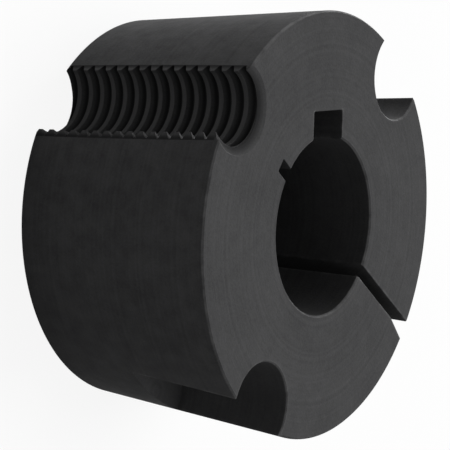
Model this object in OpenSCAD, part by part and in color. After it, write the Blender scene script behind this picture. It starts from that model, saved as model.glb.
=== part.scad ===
// Split taper bush for locking a pulley or sprocket on a shaft, stood on its small end.
// The axis is +Z, the large end is on top and the keyway is at +Y.

/* [Body] */
// Diameter across the large end
large_d = 47.6; // [44:0.2:54]
// Length along the axis
bush_l = 25.4; // [20:0.2:32]
// Angle of the taper, from side to side
taper_angle = 8; // [5:0.5:10]
// Bevel on the outer edge of each end
rim_bevel = 0.2; // [0.1:0.1:0.8]

/* [Bore and keyway] */
// Diameter of the bore for the shaft
bore_d = 20; // [16:0.5:24]
// Bevel at each end of the bore
bore_bevel = 0.2; // [0.1:0.1:0.8]
// Width of the keyway
key_w = 6; // [4:0.5:8]
// Height of the keyway above the crown of the bore
key_h = 2.8; // [1.8:0.1:3.6]

/* [Split and relief] */
// Width of the saw cut through one side
split_w = 1.5; // [1:0.1:2.4]
// Angle from the threaded hole round to the split
split_angle = 182; // [176:0.5:186]
// Width that the flare adds to one side of the split, at the rim of the large end
flare_w = 0.9; // [0.4:0.1:2]
// Depth of the flare, from the rim of the large end
flare_h = 3.9; // [2.5:0.1:5]
// Width of the relief groove in the bore
relief_w = 1.6; // [1:0.1:2.4]
// Depth of the relief groove below the bore
relief_h = 2; // [1:0.1:3]

/* [Half holes for the screws] */
// Distance from the rim of the large end in to the axes of the holes
hole_inset = 1.575; // [1.2:0.025:2]
// Angle from the keyway to the threaded hole
thread_angle = 52; // [45:0.5:60]
// Angle from the threaded hole to the plain hole on either side
hole_angle = 95; // [90:0.5:105]
// Diameter of the plain holes
plain_d = 10.2; // [9.4:0.1:11]
// Depth of the plain holes from the large end
plain_l = 14; // [10:0.5:18]
// Bevel at the mouth of each hole
hole_bevel = 0.15; // [0.15:0.1:0.65]

/* [Thread] */
// Outer diameter of the thread
thread_d = 9.525; // [8.8:0.05:10.4]
// Pitch of the thread
thread_pitch = 1.5875; // [1.4:0.05:2]
// Angle between the flanks of the thread
flank_angle = 55; // [50:1:60]
// Angle at which the thread starts, round its own axis
start_angle = 125; // [0:5:355]
// Angle between the sides of the countersink at the thread's mouth
sink_angle = 120; // [90:5:130]

/* [Hidden] */
$fn = 96;

large_r = large_d / 2;
taper_slope = tan(taper_angle / 2);
small_r = large_r - bush_l * taper_slope;
bore_r = bore_d / 2;
hole_r = large_r - hole_inset;

// Places round the axis, as angles from +X
key_at = 90;
thread_at = key_at + thread_angle;
split_at = thread_at + split_angle;

// The drill that comes before the tap leaves crests half a pitch above the roots
tap_d = thread_d - thread_pitch;
root_flat = thread_pitch / 6;
steps_a_turn = 24;

// Cutters pass this far beyond the faces that they open
past = 1;

// Turns a cutter that lies along +X to its place round the axis
module at_angle(angle) {
    rotate([0, 0, angle]) children();
}

// Cone with the bore through it, as it comes off the lathe
module turned_blank() {
    bevel_side = rim_bevel * taper_slope;
    rotate_extrude()
        polygon([
            [bore_r + bore_bevel, 0],
            [small_r - rim_bevel, 0],
            [small_r + bevel_side, rim_bevel],
            [large_r - bevel_side, bush_l - rim_bevel],
            [large_r - rim_bevel, bush_l],
            [bore_r + bore_bevel, bush_l],
            [bore_r, bush_l - bore_bevel],
            [bore_r, bore_bevel]
        ]);
}

// Square slot of width w along the bore, with its floor at the radius floor_r
module bore_slot(angle, w, floor_r) {
    at_angle(angle)
        translate([0, -w / 2, -past])
            cube([floor_r, w, bush_l + 2 * past]);
}

// Saw cut right through one side, which flares to one side towards the outside
module split() {
    flare_r = large_r - flare_h;
    outside_r = large_r + past;
    half_w = split_w / 2;
    flare_outside = flare_w * (outside_r - flare_r) / flare_h;
    at_angle(split_at)
        translate([0, 0, -past])
            linear_extrude(height = bush_l + 2 * past)
                polygon([
                    [0, -half_w],
                    [flare_r, -half_w],
                    [outside_r, -half_w - flare_outside],
                    [outside_r, half_w],
                    [0, half_w]
                ]);
}

// Countersink at height 0, from a hole of diameter d up to the diameter mouth_d
module countersink(d, mouth_d, angle = 90) {
    spread = tan(angle / 2);
    sink_h = (mouth_d - d) / 2 / spread;
    translate([0, 0, -sink_h])
        cylinder(h = sink_h + past, d1 = d, d2 = mouth_d + 2 * past * spread);
}

// Blind half hole, on whose floor a locking screw presses
module plain_hole(angle) {
    at_angle(angle)
        translate([hole_r, 0, bush_l]) {
            translate([0, 0, -plain_l])
                cylinder(h = plain_l + past, d = plain_d);
            countersink(plain_d, plain_d + 2 * hole_bevel);
        }
}

// V-shaped ridge on a right-hand helix, which cuts the thread from below the small end
// to above the large end. Each section has its four corners as [radius, height].
module thread_ridge() {
    crest_r = thread_d / 2;
    base_r = (tap_d - root_flat) / 2;
    half_base = root_flat / 2 + (crest_r - base_r) * tan(flank_angle / 2);
    section = [
        [base_r, -half_base],
        [crest_r, -root_flat / 2],
        [crest_r, root_flat / 2],
        [base_r, half_base]
    ];
    corners = len(section);
    steps = ceil((bush_l / thread_pitch + 2) * steps_a_turn);
    points = [
        for (i = [0 : steps], corner = section)
            let (angle = i * 360 / steps_a_turn, rise = thread_pitch * (i / steps_a_turn - 1))
                [corner[0] * cos(angle), corner[0] * sin(angle), corner[1] + rise]
    ];
    sides = [
        for (i = [0 : steps - 1], k = [0 : corners - 1])
            let (a = i * corners + k, b = i * corners + (k + 1) % corners)
                each [[a, b, a + corners], [b, b + corners, a + corners]]
    ];
    first_cap = [for (k = [corners - 1 : -1 : 0]) k];
    last_cap = [for (k = [0 : corners - 1]) steps * corners + k];
    polyhedron(points, concat(sides, [first_cap, last_cap]));
}

// Threaded half hole right through, for the screw that forces the bush out. Its mouth at the
// large end opens past the full thread, and at the small end it has a plain bevel.
module threaded_hole(angle) {
    at_angle(angle)
        translate([hole_r, 0, 0]) {
            translate([0, 0, -past])
                cylinder(h = bush_l + 2 * past, d = tap_d);
            at_angle(start_angle)
                thread_ridge();
            translate([0, 0, bush_l])
                countersink(tap_d, thread_d + 2 * hole_bevel, sink_angle);
            mirror([0, 0, 1])
                countersink(tap_d, tap_d + 2 * hole_bevel);
        }
}

module taper_bush() {
    color([0.22, 0.22, 0.23])
        difference() {
            turned_blank();
            bore_slot(key_at, key_w, bore_r + key_h);
            bore_slot(thread_at, relief_w, bore_r + relief_h);
            split();
            plain_hole(thread_at - hole_angle);
            plain_hole(thread_at + hole_angle);
            threaded_hole(thread_at);
        }
}

taper_bush();
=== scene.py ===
# Taper bush in phosphated iron, standing on its small end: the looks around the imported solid.
# The axis is +Z, the large end is on top and the keyway is at +Y.
import math

import bmesh
import bpy
from mathutils import Matrix, Vector


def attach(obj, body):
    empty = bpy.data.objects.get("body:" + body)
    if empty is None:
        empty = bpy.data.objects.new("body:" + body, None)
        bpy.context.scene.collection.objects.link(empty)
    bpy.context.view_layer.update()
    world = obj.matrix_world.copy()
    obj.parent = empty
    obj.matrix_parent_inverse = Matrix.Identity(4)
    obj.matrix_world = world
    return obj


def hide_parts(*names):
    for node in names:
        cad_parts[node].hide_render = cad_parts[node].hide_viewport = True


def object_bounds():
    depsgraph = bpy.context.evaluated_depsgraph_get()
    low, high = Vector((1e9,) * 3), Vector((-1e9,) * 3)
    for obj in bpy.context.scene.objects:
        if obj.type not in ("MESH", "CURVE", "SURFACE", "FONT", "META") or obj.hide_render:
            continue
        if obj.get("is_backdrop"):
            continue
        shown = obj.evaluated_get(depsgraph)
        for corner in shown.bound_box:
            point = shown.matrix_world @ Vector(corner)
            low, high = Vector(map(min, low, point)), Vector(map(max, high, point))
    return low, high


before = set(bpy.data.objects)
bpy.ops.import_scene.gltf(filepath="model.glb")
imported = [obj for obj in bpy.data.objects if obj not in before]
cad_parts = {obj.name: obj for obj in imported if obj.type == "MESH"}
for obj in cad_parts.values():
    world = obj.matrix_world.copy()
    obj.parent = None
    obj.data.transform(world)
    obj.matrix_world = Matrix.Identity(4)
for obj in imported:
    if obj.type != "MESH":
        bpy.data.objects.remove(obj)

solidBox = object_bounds()
millimetre = 0.001


# One socket of a node tree: maths on it adds its Math nodes
class Wire:
    def __init__(self, sheet, socket):
        self.sheet = sheet
        self.socket = socket

    def __add__(self, other):
        return self.sheet.maths("ADD", self, other)

    def __radd__(self, other):
        return self.sheet.maths("ADD", other, self)

    def __sub__(self, other):
        return self.sheet.maths("SUBTRACT", self, other)

    def __rsub__(self, other):
        return self.sheet.maths("SUBTRACT", other, self)

    def __mul__(self, other):
        return self.sheet.maths("MULTIPLY", self, other)

    def __rmul__(self, other):
        return self.sheet.maths("MULTIPLY", other, self)

    def __truediv__(self, other):
        return self.sheet.maths("DIVIDE", self, other)

    def __rtruediv__(self, other):
        return self.sheet.maths("DIVIDE", other, self)

    def maths(self, operation, *others):        # any other operation, with this value first
        return self.sheet.maths(operation, self, *others)

    def rises(self, low, high):        # 0 below low, 1 above high and smooth between them
        ends = {"From Min": low, "From Max": high, "Value": self}
        return self.sheet.add("ShaderNodeMapRange", {"interpolation_type": "SMOOTHSTEP"}, ends)

    def near(self, reach):             # 1 at zero and 0 beyond reach on either side
        return 1 - self.maths("ABSOLUTE").rises(0, reach)

    def other(self, name):             # another output of the same node
        return Wire(self.sheet, self.socket.node.outputs[name])


# A node tree that is filled by one method
class NodeSheet:
    def __init__(self, tree):
        self.tree = tree

    def add(self, kind, settings=None, sockets=None, output=0):
        node = self.tree.nodes.new(kind)
        for name, value in (settings or {}).items():
            setattr(node, name, value)
        for name, value in (sockets or {}).items():
            if isinstance(value, Wire):
                self.tree.links.new(value.socket, node.inputs[name])
            else:
                node.inputs[name].default_value = value
        return Wire(self, node.outputs[output]) if len(node.outputs) else None

    def maths(self, operation, *values):
        return self.add("ShaderNodeMath", {"operation": operation}, dict(enumerate(values)))

    def vectors(self, operation, *values, output=0):
        settings = {"operation": operation}
        return self.add("ShaderNodeVectorMath", settings, dict(enumerate(values)), output)

    def colours(self, factor, first, second):        # by number, as these sockets share their names
        sockets = {0: factor, 6: first, 7: second}
        return self.add("ShaderNodeMix", {"data_type": "RGBA"}, sockets, 2)

    # About 0 on average, with the pattern's grain, in space or along one number
    def noise(self, place, pattern, dimensions="3D"):
        sockets = {"Scale": 1 / pattern["grain"], "Detail": pattern["detail"]}
        sockets["Vector" if dimensions == "3D" else "W"] = place
        return self.add("ShaderNodeTexNoise", {"noise_dimensions": dimensions}, sockets) - 0.5


# The emptied node tree of a material or world
def emptySheet(owner):
    owner.use_nodes = True
    owner.node_tree.nodes.clear()
    return NodeSheet(owner.node_tree)


def grey(level):
    return level, level, level, 1


# Camera at the photograph's place, rolled so that the bush lies on its side in the picture
cameraPlace = {
    "from": (-0.17925829, 0.02564144, 0.13307454),
    "to": (-0.00624348, -0.00012838, 0.01618683),
    "roll": 96.0532,         # degrees
    "lens": 151.8617,        # millimetres, as the sensor's width
    "sensor": 36,
    "nearest": 0.01,         # metres
}


def addCamera(place):
    data = bpy.data.cameras.new("photoCamera")
    data.lens = place["lens"]
    data.sensor_width = place["sensor"]
    data.clip_start = place["nearest"]
    camera = bpy.data.objects.new("photoCamera", data)
    bpy.context.collection.objects.link(camera)
    back = (Vector(place["from"]) - Vector(place["to"])).normalized()
    level = Vector((0, 0, 1)).cross(back).normalized()
    right = Matrix.Rotation(math.radians(place["roll"]), 3, back) @ level
    turned = Matrix((right, back.cross(right), back)).transposed()
    camera.matrix_world = Matrix.Translation(place["from"]) @ turned.to_4x4()
    bpy.context.scene.camera = camera


# Sizes of the bush in millimetres and degrees: first the solid's own, then those of the soft edges
# that only the looks have, and of the mesh
bushSizes = {
    "largeRadius": 23.8,
    "length": 25.4,
    "taperAngle": 8,
    "rimBevel": 0.2,
    "boreRadius": 10,
    "boreBevel": 0.2,
    "keyAt": 90,
    "keyWidth": 6,
    "keyHeight": 2.8,
    "splitAt": 324,
    "splitWidth": 1.5,
    "flareWidth": 0.9,       # on the side of the second plain hole only
    "flareDepth": 3.9,
    "reliefAt": 142,
    "reliefWidth": 1.6,
    "reliefDepth": 2,
    "screwCircleRadius": 22.225,
    "plainAt": (47, 237),
    "plainRadius": 5.1,
    "plainDepth": 14,
    "plainBevel": 0.15,
    "threadAt": 142,
    "threadStart": 125,      # round the hole's own axis
    "drilledRadius": 3.96875,
    "mouthSink": 0.94375,    # countersink of the threaded hole at the large end
    "mouthAngle": 120,       # between its sides
    "drilledBevel": 0.15,    # bevel of the threaded hole at the small end
    "edgeBreak": 0.05,       # what deburring takes off the ends of the slots
    "cornerBreak": 0.1,      # and off the edges that run along the bush
    "keyCorner": 0.25,       # reach of the rounding at the keyway's floor
    "reliefCorner": 0.2,     # and at the relief groove's
    "flareCorner": 0.4,      # and where the split starts to flare
    "shoulder": 0.06,        # rounding where a bevel meets its faces
    "rowGap": 2,             # between the outlines along the plain middle
    "mergeWithin": 0.0001,   # closer points become one
    "sharpAngle": 32,        # shading isn't smoothed over sharper edges
    "steps": {               # along the stretches of an outline, the same at every height
        "rim": (34, 36, 36, 36),      # counter-clockwise from the split
        "plainHole": 36,
        "threadedHole": 44,
        "flare": 5,
        "lowerSplitWall": 10,
        "upperSplitWall": 15,
        "bore": (72, 14, 42),         # clockwise from the split
        "reliefWalls": 3,
        "reliefFloor": 3,
        "keyWalls": 4,
        "keyFloor": 8,
    },
}


def taperSlope(sizes):
    return math.tan(math.radians(sizes["taperAngle"] / 2))


def onCircle(radius, angle, centre=(0, 0)):
    return Vector((centre[0] + radius * math.cos(angle), centre[1] + radius * math.sin(angle)))


# Stretches of an outline: each is its length, its steps and the place at a distance along it
def straight(start, end, steps):
    along = (end - start).normalized()
    return (end - start).length, steps, lambda distance: start + along * distance


def bend(radius, first, last, steps, centre=(0, 0)):
    def place(distance):
        return onCircle(radius, first + math.copysign(distance / radius, last - first), centre)
    return abs(last - first) * radius, steps, place


# Joins (stretch, corner) pairs into a loop; corner is how far the rounding at its end reaches
def softLoop(stretches):
    points = []
    for number, ((length, steps, place), corner) in enumerate(stretches):
        cornerBefore = stretches[number - 1][1]
        span = length - cornerBefore - corner
        for step in range(steps + 1):
            points.append(place(cornerBefore + span * step / steps))
        nextPlace = stretches[(number + 1) % len(stretches)][0][2]
        leaves, tip, arrives = place(length - corner), place(length), nextPlace(corner)
        for share in (1 / 3, 2 / 3):        # two more points on a curve round the corner
            points.append(leaves.lerp(tip, share).lerp(tip.lerp(arrives, share), share))
    return points


# How much a bevel takes off its side at a depth below the end; its two edges are rounded.
# slope is how far it goes in for each step down.
def bevelInset(bevel, depth, shoulder, slope=1):
    flank = math.atan(slope)                 # of the bevel, from the axis
    topReach = shoulder * math.tan((math.pi / 2 - flank) / 2)
    lowReach = shoulder * math.tan(flank / 2)
    topDip = topReach * math.cos(flank)
    lowDip = lowReach * math.cos(flank)
    bottom = bevel / slope
    if depth < topDip:
        return bevel + topReach - math.sqrt(shoulder ** 2 - (shoulder - depth) ** 2)
    if depth < bottom - lowDip:
        return bevel - depth * slope
    if depth < bottom + lowReach:
        return shoulder - math.sqrt(shoulder ** 2 - (bottom + lowReach - depth) ** 2)
    return 0


# Half hole in the rim: its arc, or the rim's own arc below the floor of a blind hole
def notch(sizes, angle, radius, rim, isOpen, steps):
    centreRadius = sizes["screwCircleRadius"]
    spread = math.acos((rim ** 2 + centreRadius ** 2 - radius ** 2) / (2 * rim * centreRadius))
    if not isOpen:
        return spread, bend(rim, angle - spread, angle + spread, steps)
    lip = math.atan2(rim * math.sin(spread), rim * math.cos(spread) - centreRadius)
    first, last = angle - lip, angle + lip - math.tau
    return spread, bend(radius, first, last, steps, onCircle(centreRadius, angle))


# Slot in the bore from one side to the other, going backwards round the bore
def boreSlot(angle, halfWidth, bore, floor, wallSteps, floorSteps):
    def local(x, y):
        return Matrix.Rotation(angle, 2) @ Vector((x, y))
    lip = math.sqrt(bore ** 2 - halfWidth ** 2)
    spread = math.asin(halfWidth / bore)
    return spread, [
        straight(local(lip, halfWidth), local(floor, halfWidth), wallSteps),
        straight(local(floor, halfWidth), local(floor, -halfWidth), floorSteps),
        straight(local(floor, -halfWidth), local(lip, -halfWidth), wallSteps),
    ]


# Outline of the bush at a height, as one loop that goes out and in again at the split
def bushOutline(sizes, height, plainIsOpen):
    def inset(bevel, bevelSlope=1):
        depth = min(height, sizes["length"] - height)
        return bevelInset(bevel, depth, sizes["shoulder"], bevelSlope)
    fromTop = sizes["length"] - height
    rim = sizes["largeRadius"] - fromTop * taperSlope(sizes) - inset(sizes["rimBevel"])
    bore = sizes["boreRadius"] + inset(sizes["boreBevel"])
    edge = inset(sizes["edgeBreak"])
    corner = sizes["cornerBreak"]
    steps = sizes["steps"]

    keyAt, splitAt, reliefAt, threadAt = (
        math.radians(sizes[name]) for name in ("keyAt", "splitAt", "reliefAt", "threadAt"))
    firstAt, secondAt = (math.radians(angle) for angle in sizes["plainAt"])
    plainRadius = sizes["plainRadius"] + inset(sizes["plainBevel"])
    if height < sizes["length"] / 2:
        drilledRadius = sizes["drilledRadius"] + inset(sizes["drilledBevel"])
    else:
        mouthSlope = math.tan(math.radians(sizes["mouthAngle"] / 2))
        drilledRadius = sizes["drilledRadius"] + inset(sizes["mouthSink"], mouthSlope)
    plainSteps = steps["plainHole"]
    plainSpread, firstPlain = notch(sizes, firstAt, plainRadius, rim, plainIsOpen, plainSteps)
    plainSpread, secondPlain = notch(sizes, secondAt, plainRadius, rim, plainIsOpen, plainSteps)
    threadSpread, threaded = notch(sizes, threadAt, drilledRadius, rim, True, steps["threadedHole"])

    keyFloor = sizes["boreRadius"] + sizes["keyHeight"] + edge
    keySpread, keySides = boreSlot(
        keyAt, sizes["keyWidth"] / 2 + edge, bore, keyFloor,
        steps["keyWalls"], steps["keyFloor"])
    reliefFloor = sizes["boreRadius"] + sizes["reliefDepth"] + edge
    reliefSpread, reliefSides = boreSlot(
        reliefAt, sizes["reliefWidth"] / 2 + edge, bore, reliefFloor,
        steps["reliefWalls"], steps["reliefFloor"])

    # The split's upper wall is straight; its lower wall flares from flareRadius to the rim
    halfSplit = sizes["splitWidth"] / 2 + edge
    flareRadius = sizes["largeRadius"] - sizes["flareDepth"]
    flare = sizes["flareWidth"] / sizes["flareDepth"]
    splitSpread = math.asin(halfSplit / bore)
    start = halfSplit - flare * flareRadius
    lipX = (-flare * start + math.sqrt((1 + flare ** 2) * rim ** 2 - start ** 2)) / (1 + flare ** 2)
    lowerSpread = math.atan2(start + flare * lipX, lipX)
    upperSpread = math.asin(halfSplit / rim)
    bendPoint = Matrix.Rotation(splitAt, 2) @ Vector((flareRadius, -halfSplit))
    lowerLip = onCircle(rim, splitAt - lowerSpread)
    upperLip = onCircle(rim, splitAt + upperSpread)
    boreLips = [onCircle(bore, splitAt + side * splitSpread) for side in (-1, 1)]

    rimSteps, boreSteps = steps["rim"], steps["bore"]
    return softLoop([
        (bend(rim, splitAt + upperSpread - math.tau, firstAt - plainSpread, rimSteps[0]), corner),
        (firstPlain, corner),
        (bend(rim, firstAt + plainSpread, threadAt - threadSpread, rimSteps[1]), corner),
        (threaded, corner),
        (bend(rim, threadAt + threadSpread, secondAt - plainSpread, rimSteps[2]), corner),
        (secondPlain, corner),
        (bend(rim, secondAt + plainSpread, splitAt - lowerSpread, rimSteps[3]), corner),
        (straight(lowerLip, bendPoint, steps["flare"]), sizes["flareCorner"]),
        (straight(bendPoint, boreLips[0], steps["lowerSplitWall"]), corner),
        (bend(bore, splitAt - splitSpread, reliefAt + reliefSpread, boreSteps[0]), corner),
        (reliefSides[0], sizes["reliefCorner"]),
        (reliefSides[1], sizes["reliefCorner"]),
        (reliefSides[2], corner),
        (bend(bore, reliefAt - reliefSpread, keyAt + keySpread, boreSteps[1]), corner),
        (keySides[0], sizes["keyCorner"]),
        (keySides[1], sizes["keyCorner"]),
        (keySides[2], corner),
        (bend(bore, keyAt - keySpread, splitAt + splitSpread - math.tau, boreSteps[2]), corner),
        (straight(boreLips[1], upperLip, steps["upperSplitWall"]), corner),
    ])


# Heights of the outlines, and whether the plain holes are open there. They are close together over
# the bevels at the ends, and there is a pair at the floor of the plain holes.
def outlineHeights(sizes):
    length, shoulder = sizes["length"], sizes["shoulder"]
    bevelTurn = math.radians(45)        # from a face to its bevel
    reach = shoulder * math.tan(bevelTurn / 2)
    dip = reach * math.cos(bevelTurn)
    mouthDepth = sizes["mouthSink"] / math.tan(math.radians(sizes["mouthAngle"] / 2))
    depths = [0, dip / 4, dip]
    for bottom in (sizes["edgeBreak"], sizes["plainBevel"], sizes["rimBevel"], mouthDepth):
        depths += [bottom - dip, bottom, bottom + reach]
    depths.sort()
    floor = length - sizes["plainDepth"]
    low, high = depths[-1], length - depths[-1]
    lowSteps = round((floor - low) / sizes["rowGap"])
    highSteps = round((high - floor) / sizes["rowGap"])
    heights = [(depth, False) for depth in depths]
    heights += [(low + (floor - low) * step / lowSteps, False) for step in range(1, lowSteps + 1)]
    heights += [(floor + (high - floor) * step / highSteps, True) for step in range(highSteps)]
    heights += [(length - depth, True) for depth in reversed(depths)]
    return heights


def loftMesh(sizes):
    shape = bmesh.new()
    rows = []
    for height, plainIsOpen in outlineHeights(sizes):
        outline = bushOutline(sizes, height, plainIsOpen)
        places = [(*(point * millimetre), height * millimetre) for point in outline]
        rows.append([shape.verts.new(place) for place in places])
    for lower, upper in zip(rows, rows[1:]):
        for number in range(len(lower)):
            following = (number + 1) % len(lower)
            corners = [lower[number], lower[following], upper[following], upper[number]]
            shape.faces.new(corners)
    shape.faces.new(rows[-1])
    shape.faces.new(reversed(rows[0]))
    bmesh.ops.remove_doubles(shape, verts=shape.verts, dist=sizes["mergeWithin"] * millimetre)
    mesh = bpy.data.meshes.new("taperBush")
    shape.to_mesh(mesh)
    shape.free()
    return mesh


# The thread's groove as a ridge to cut with: the inputs of its tree, in millimetres and degrees
threadSizes = {
    "Pitch": 1.5875,
    "Outer Radius": 4.7625,
    "Inner Radius": 3.7,
    "Root Flat": 0.265,
    "Flank Angle": 55.0,     # between the flanks
    "Root Rounding": 0.12,
    "Rounding Steps": 3,
    "Turns": 18,
    "Steps a Turn": 72,
}


def threadRidgeTree(sizes, material):
    tree = bpy.data.node_groups.new("threadRidge", "GeometryNodeTree")
    for name, value in sizes.items():
        kind = "NodeSocketInt" if isinstance(value, int) else "NodeSocketFloat"
        tree.interface.new_socket(name=name, in_out="INPUT", socket_type=kind)
    tree.interface.new_socket(name="Geometry", in_out="OUTPUT", socket_type="NodeSocketGeometry")
    sheet = NodeSheet(tree)
    source = sheet.add("NodeGroupInput")
    given = {name: source.other(name) for name in sizes}
    reach = given["Outer Radius"] - given["Inner Radius"]
    halfAngle = given["Flank Angle"] * (math.pi / 360)        # half of it, in radians
    helix = sheet.add("GeometryNodeCurveSpiral", None, {
        "Resolution": given["Steps a Turn"],
        "Rotations": given["Turns"],
        "Start Radius": given["Inner Radius"] + reach / 2,
        "End Radius": given["Inner Radius"] + reach / 2,
        "Height": given["Turns"] * given["Pitch"],
        "Reverse": True,        # right-hand
    })
    upright = sheet.add("GeometryNodeSetCurveNormal", {"mode": "Z_UP"}, {"Curve": helix})
    section = sheet.add("GeometryNodeCurvePrimitiveQuadrilateral", {"mode": "TRAPEZOID"}, {
        "Height": reach,
        "Bottom Width": given["Root Flat"] + reach * halfAngle.maths("TANGENT") * 2,
        "Top Width": given["Root Flat"],
        "Offset": 0.0,
    })
    rounded = sheet.add("GeometryNodeFilletCurve", {"mode": "POLY"}, {
        "Curve": section,
        "Count": given["Rounding Steps"],
        "Radius": given["Root Rounding"],
        "Limit Radius": True,
    })
    turned = sheet.add("GeometryNodeTransform", None, {
        "Geometry": rounded,
        "Rotation": (0, 0, -math.pi / 2),        # its narrow side outwards
    })
    ridge = sheet.add("GeometryNodeCurveToMesh", None, {
        "Curve": upright,
        "Profile Curve": turned,
        "Fill Caps": True,
    })
    whole = sheet.add("GeometryNodeRealizeInstances", None, {"Geometry": ridge})
    finished = sheet.add("GeometryNodeSetMaterial", None, {"Geometry": whole, "Material": material})
    sheet.add("NodeGroupOutput", None, {"Geometry": finished})
    return tree


# Runs a Geometry Nodes tree with its named inputs and returns the result as a plain mesh
def meshFromTree(tree, values):
    holder = addObject("treeHolder", bpy.data.meshes.new("treeHolder"))
    modifier = holder.modifiers.new("tree", "NODES")
    modifier.node_group = tree
    for item in tree.interface.items_tree:
        if item.in_out == "INPUT":
            modifier[item.identifier] = values[item.name]
    mesh = settledMesh(holder)
    bpy.data.objects.remove(holder)
    return mesh


def settledMesh(piece):
    graph = bpy.context.evaluated_depsgraph_get()
    return bpy.data.meshes.new_from_object(piece.evaluated_get(graph), depsgraph=graph)


def applyModifiers(piece):
    piece.data = settledMesh(piece)
    piece.modifiers.clear()


def addObject(name, mesh):
    piece = bpy.data.objects.new(name, mesh)
    bpy.context.collection.objects.link(piece)
    return piece


def makeBush(sizes, material):
    bush = addObject("phosphatedBush", loftMesh(sizes))
    bush.data.materials.append(material)
    print("bush: outlines lofted,", len(bush.data.polygons), "faces")

    # The ridge starts a turn below the small end, so that it cuts right through
    ridgeMesh = meshFromTree(threadRidgeTree(threadSizes, material), threadSizes)
    threadAt = math.radians(sizes["threadAt"])
    centre = onCircle(sizes["screwCircleRadius"], threadAt)
    ridgeTurn = Matrix.Rotation(threadAt + math.radians(sizes["threadStart"]), 4, "Z")
    place = Matrix.Translation((*centre, -threadSizes["Pitch"])) @ ridgeTurn
    ridgeMesh.transform(Matrix.Scale(millimetre, 4) @ place)
    ridge = addObject("threadRidge", ridgeMesh)
    cut = bush.modifiers.new("thread", "BOOLEAN")
    cut.object = ridge
    cut.operation = "DIFFERENCE"
    cut.solver = "MANIFOLD"
    applyModifiers(bush)
    bpy.data.objects.remove(ridge)
    print("bush: thread cut,", len(bush.data.polygons), "faces")

    bush.data.shade_smooth()
    bush.data.set_sharp_from_angle(angle=math.radians(sizes["sharpAngle"]))
    smooth = bush.modifiers.new("flatFaces", "WEIGHTED_NORMAL")
    smooth.keep_sharp = True
    applyModifiers(bush)
    bush.data.name = "phosphatedBush"
    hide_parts("taper_bush")
    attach(bush, "root")


# Blackened iron, fresh from the bath: a dull dark coat with a crystal grain, over turned and
# drilled marks. Lengths are in millimetres. A pattern has the length of its grain, its detail, and
# how much it changes the tone, the roughness and the height.
ironLook = {
    "paleCoat": (0.081, 0.081, 0.0822, 1),
    "darkCoat": (0.048, 0.048, 0.0492, 1),
    # lighter coat for worn edges and for the painted highlight on the crests of the thread
    "wornAndLitCoat": (0.13, 0.13, 0.131, 1),
    # a near black for the painted shade in the roots and at the mouth of the thread
    "paintedShadeCoat": (0.022, 0.022, 0.0225, 1),
    "tone": 0.5,             # 0 is the dark coat and 1 the pale one
    "roughness": 0.85,
    "specular": 0.04,
    "patterns": {
        # uneven coat
        "blotch": {"grain": 7, "detail": 2, "tone": 0.8, "roughness": 0.15},
        "mottle": {"grain": 1.3, "detail": 3, "tone": 0.6, "roughness": 0.15, "height": 0.03},
        "crystal": {"grain": 0.22, "detail": 2, "tone": 0.8, "height": 0.02},
        # rings and lines that the tools left
        "mark": {"grain": 0.5, "detail": 3, "tone": 0.6, "roughness": 0.1, "height": 0.01},
        # slow unevenness of the faces
        "wave": {"grain": 5, "detail": 1, "height": 0.03},
        # painted sheen: paler and darker patches on the cone
        "sheenPatch": {"grain": 1.8, "detail": 2, "tone": 1.1},
    },
    "sheenPatchReach": 0.3,      # how far from the cone the painted sheen patches reach
    "markWander": 0.1,       # how far the mottle bends the tool marks
    "edgeReach": 0.4,        # how far wear reaches from an edge
    "edgeWear": 0.5,
    "edgePatches": (-0.15, 0.15),     # the edges wear where the mottle is above these
    "crestHighlight": 0.28,       # painted highlight, with some wear, on the crests of the thread
    "wearPolish": 0.4,       # what wear takes off the roughness
    "rootShade": 0.95,         # how much painted shade darkens the roots of the thread
    # how much painted shade darkens the countersink at the mouth of the thread
    "mouthShade": 0.8,
    "zones": {               # the distances at which a zone begins and ends
        "farAway": 50,                # stands for a surface that isn't there
        "stop": 0.1,                  # a hole or a slot stops within this
        "pastKey": 0.5,               # beyond the keyway's floor
        "slotSide": (0, 1),           # from the axis to the side that a slot is on
        "offHole": (0.05, 0.2),
        "offKey": (0.05, 0.2),
        "offBore": (0.1, 0.3),
        "threadRoots": (-0.6, -0.1),  # from the outer radius of the thread, as the next three
        "offThread": (0.05, 0.1),
        "offCrests": (-0.76, -0.7),
        "offMouth": (-0.7, 0.15),
        "belowMouth": (0.5, 0.8),     # from the large end
        "belowTop": (0, 0.05),
        "underCone": (0.2, 0.8),      # where the crests are whole
    },
}


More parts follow.
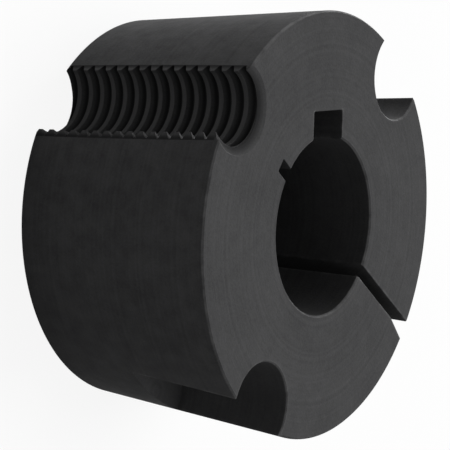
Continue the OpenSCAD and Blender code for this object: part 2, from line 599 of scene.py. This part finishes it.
# Distances to the surfaces of the bush, the number that runs across the tool marks, and 1 in the
# roots, at the mouth and on the crests of the thread
def bushSurfaces(sheet, place, sizes, zones):
    x = sheet.add("ShaderNodeSeparateXYZ", None, {0: place})
    y, z = x.other("Y"), x.other("Z")
    flat = sheet.add("ShaderNodeCombineXYZ", None, {"X": x, "Y": y})
    radius = sheet.vectors("LENGTH", flat, output="Value")
    top = sizes["length"] - z
    cone = sizes["largeRadius"] - top * taperSlope(sizes) - radius
    bore = radius - sizes["boreRadius"]
    farAway = zones["farAway"]

    def toHole(angle, holeRadius):
        centre = onCircle(sizes["screwCircleRadius"], math.radians(angle))
        return sheet.vectors("DISTANCE", flat, (*centre, 0), output="Value") - holeRadius

    firstPlain, secondPlain = (toHole(angle, sizes["plainRadius"]) for angle in sizes["plainAt"])
    belowFloor = top.rises(sizes["plainDepth"], sizes["plainDepth"] + zones["stop"])
    plain = firstPlain.maths("MINIMUM", secondPlain) + belowFloor * farAway
    threaded = toHole(sizes["threadAt"], threadSizes["Outer Radius"])
    hole = plain.maths("MINIMUM", threaded)

    keyEnd = sizes["boreRadius"] + sizes["keyHeight"] + zones["pastKey"]
    outsideKey = 1 - y.rises(*zones["slotSide"]) + radius.rises(keyEnd, keyEnd + zones["stop"])
    key = x.maths("ABSOLUTE") - sizes["keyWidth"] / 2 + outsideKey * farAway

    splitAt = math.radians(sizes["splitAt"])
    outwards = (math.cos(splitAt), math.sin(splitAt), 0)
    sideways = (-math.sin(splitAt), math.cos(splitAt), 0)
    along, across = (
        sheet.vectors("DOT_PRODUCT", flat, way, output="Value") for way in (outwards, sideways))
    beyond = along - (sizes["largeRadius"] - sizes["flareDepth"])
    flare = beyond.maths("MAXIMUM", 0) * (sizes["flareWidth"] / sizes["flareDepth"])
    flareSide = across.maths("LESS_THAN", 0)
    outsideSplit = 1 - along.rises(*zones["slotSide"])
    split = (across.maths("ABSOLUTE") - sizes["splitWidth"] / 2 - flare * flareSide
             + outsideSplit * farAway)

    # Masks for the painted shade in the roots and at the mouth, and for the painted highlight on the
    # crests
    belowMouth = top.rises(*zones["belowMouth"])
    inThread = 1 - threaded.rises(*zones["offThread"])
    roots = threaded.rises(*zones["threadRoots"]) * inThread * belowMouth
    nearMouth = 1 - threaded.rises(*zones["offMouth"])
    mouth = nearMouth * top.rises(*zones["belowTop"]) * (1 - belowMouth)
    nearCrests = 1 - threaded.rises(*zones["offCrests"])
    crests = nearCrests * cone.rises(*zones["underCone"]) * belowMouth

    # Rings on the cone, the bore and the ends, rings round a hole, and straight lines in the keyway
    inHole = 1 - hole.rises(*zones["offHole"])
    inKey = (1 - key.rises(*zones["offKey"])) * bore.rises(*zones["offBore"])
    rings = z + radius + inHole * (hole - radius)
    acrossMarks = rings + inKey * (x + y - rings)

    surfaces = {
        "top": top,
        "foot": z,
        "cone": cone,
        "bore": bore,
        "plain": plain,
        "key": key,
        "split": split,
    }
    return surfaces, acrossMarks, roots, mouth, crests


def phosphatedIron(look):
    material = bpy.data.materials.new("phosphatedIron")
    sheet = emptySheet(material)
    inMetres = sheet.add("ShaderNodeTexCoord", output="Object")
    place = sheet.vectors("MULTIPLY", inMetres, (1 / millimetre,) * 3)
    surfaces, acrossMarks, roots, mouth, crests = bushSurfaces(
        sheet, place, bushSizes, look["zones"])
    # Painted shade: the roots of the thread and the countersink at its mouth are darkened
    paintedShade = roots * look["rootShade"] + mouth * look["mouthShade"]

    shares = look["patterns"]
    patterns = {
        name: sheet.noise(place, shares[name])
        for name in ("blotch", "mottle", "crystal", "wave", "sheenPatch")}
    mottle = patterns["mottle"]
    patterns["mark"] = sheet.noise(acrossMarks + mottle * look["markWander"], shares["mark"], "1D")
    # Painted sheen patches, kept to the cone
    patterns["sheenPatch"] *= surfaces["cone"].near(look["sheenPatchReach"])

    def withPatterns(start, what):
        changes = [patterns[name] * share[what] for name, share in shares.items() if what in share]
        return sum(changes, start)

    # Two surfaces are near along an edge, so their sum is above 1 there
    edge = sum((surface.near(look["edgeReach"]) for surface in surfaces.values()), -1)
    # Real wear on the edges, and a painted highlight, with some wear, on the crests of the thread
    wearAndHighlight = (edge.maths("MAXIMUM", 0) * mottle.rises(*look["edgePatches"]) * look["edgeWear"]
            + crests * look["crestHighlight"])

    coat = sheet.colours(withPatterns(look["tone"], "tone"), look["darkCoat"], look["paleCoat"])
    shadedCoat = sheet.colours(paintedShade, coat, look["paintedShadeCoat"])
    colour = sheet.colours(wearAndHighlight, shadedCoat, look["wornAndLitCoat"])
    roughness = withPatterns(look["roughness"], "roughness") - wearAndHighlight * look["wearPolish"]
    relief = sheet.add("ShaderNodeBump", None, {
        "Strength": 1.0,
        "Distance": millimetre,
        "Height": withPatterns(0, "height"),
    })
    shader = sheet.add("ShaderNodeBsdfPrincipled", None, {
        "Base Color": colour,
        "Roughness": roughness,
        "Normal": relief,
        "Specular IOR Level": look["specular"],
    })
    sheet.add("ShaderNodeOutputMaterial", None, {"Surface": shader})
    print("iron: coat mixed,", len(material.node_tree.nodes), "nodes")
    return material


# Plain pale floor, white to the camera with a soft shadow
floorLook = {
    "size": 4,               # metres
    "seenColour": 0.9,
    "seenGlow": 0.9,         # share of plain white in what the camera sees
    "bounceColour": 0.3,     # what it throws back on the bush
}


# 1 where the camera sees it, also in gloss or through glass
def seenDirectly(sheet):
    seen = sheet.add("ShaderNodeLightPath", output="Is Camera Ray")
    inGloss, throughGlass = (seen.other(name) for name in ("Is Glossy Ray", "Is Transmission Ray"))
    return seen.maths("MAXIMUM", inGloss.maths("MAXIMUM", throughGlass))


def addFloor(look):
    half = look["size"] / 2
    corners = [(-half, -half, 0), (half, -half, 0), (half, half, 0), (-half, half, 0)]
    mesh = bpy.data.meshes.new("floor")
    mesh.from_pydata(corners, [], [(0, 1, 2, 3)])
    floor = addObject("floor", mesh)
    material = bpy.data.materials.new("paleFloor")
    sheet = emptySheet(material)
    bounce, seen = (
        sheet.add("ShaderNodeBsdfDiffuse", None, {"Color": grey(look[name])})
        for name in ("bounceColour", "seenColour"))
    glow = sheet.add("ShaderNodeEmission", None, {"Color": grey(1), "Strength": 1.0})
    shown = sheet.add("ShaderNodeMixShader", None, {0: look["seenGlow"], 1: seen, 2: glow})
    surface = sheet.add("ShaderNodeMixShader", None, {0: seenDirectly(sheet), 1: bounce, 2: shown})
    sheet.add("ShaderNodeOutputMaterial", None, {"Surface": surface})
    mesh.materials.append(material)
    floor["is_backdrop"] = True


# Soft studio light: lamps above and on the camera's side, low strips behind that bring out the upper
# side in the picture, and a weak low strip in front
lights = {
    "world": 0.125,
    "lamps": (
        # name, from, to, width, height, watts
        ("overhead", (0.06, 0.05, 0.85), (0, 0, 0.01), 0.4, 0.4, 1.7),
        ("key", (0.4, 0.145, 0.736), (0, 0, 0.01), 0.4, 0.4, 4.5),
        ("fill", (-0.64, -0.4, 0.34), (0, 0, 0.013), 0.4, 0.4, 0.27),
        ("backStrip", (0.78, 0.33, 0.024), (0, 0, 0.013), 0.5, 0.04, 8.3),
        ("sideStrip", (0.45, 0.72, 0.024), (0, 0, 0.013), 0.5, 0.04, 4.4),
        ("frontStrip", (-0.736, 0.425, 0.024), (0, 0, 0.013), 0.5, 0.04, 0.5),
    ),
}


def addLights(look):
    for name, start, aim, width, height, power in look["lamps"]:
        data = bpy.data.lights.new(name, "AREA")
        data.shape = "RECTANGLE"
        data.size = width
        data.size_y = height
        data.energy = power
        lamp = bpy.data.objects.new(name, data)
        lamp.visible_camera = False
        bpy.context.collection.objects.link(lamp)
        facing = (Vector(aim) - Vector(start)).to_track_quat("-Z", "Y").to_matrix()
        lamp.matrix_world = Matrix.Translation(start) @ facing.to_4x4()
    world = bpy.data.worlds.new("studio")
    bpy.context.scene.world = world
    sheet = emptySheet(world)
    around = sheet.add("ShaderNodeBackground", None, {"Color": grey(look["world"])})
    white = sheet.add("ShaderNodeBackground", None, {"Color": grey(1)})
    surface = sheet.add("ShaderNodeMixShader", None, {0: seenDirectly(sheet), 1: around, 2: white})
    sheet.add("ShaderNodeOutputWorld", None, {"Surface": surface})


addCamera(cameraPlace)
print("camera placed")
makeBush(bushSizes, phosphatedIron(ironLook))
print("bush made")
addFloor(floorLook)
addLights(lights)
print("floor and lights placed")
bpy.context.scene.view_settings.view_transform = "Standard"

sizes = {"solid": solidBox, "visual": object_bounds()}
{name: [list(corner) for corner in box] for name, box in sizes.items()}
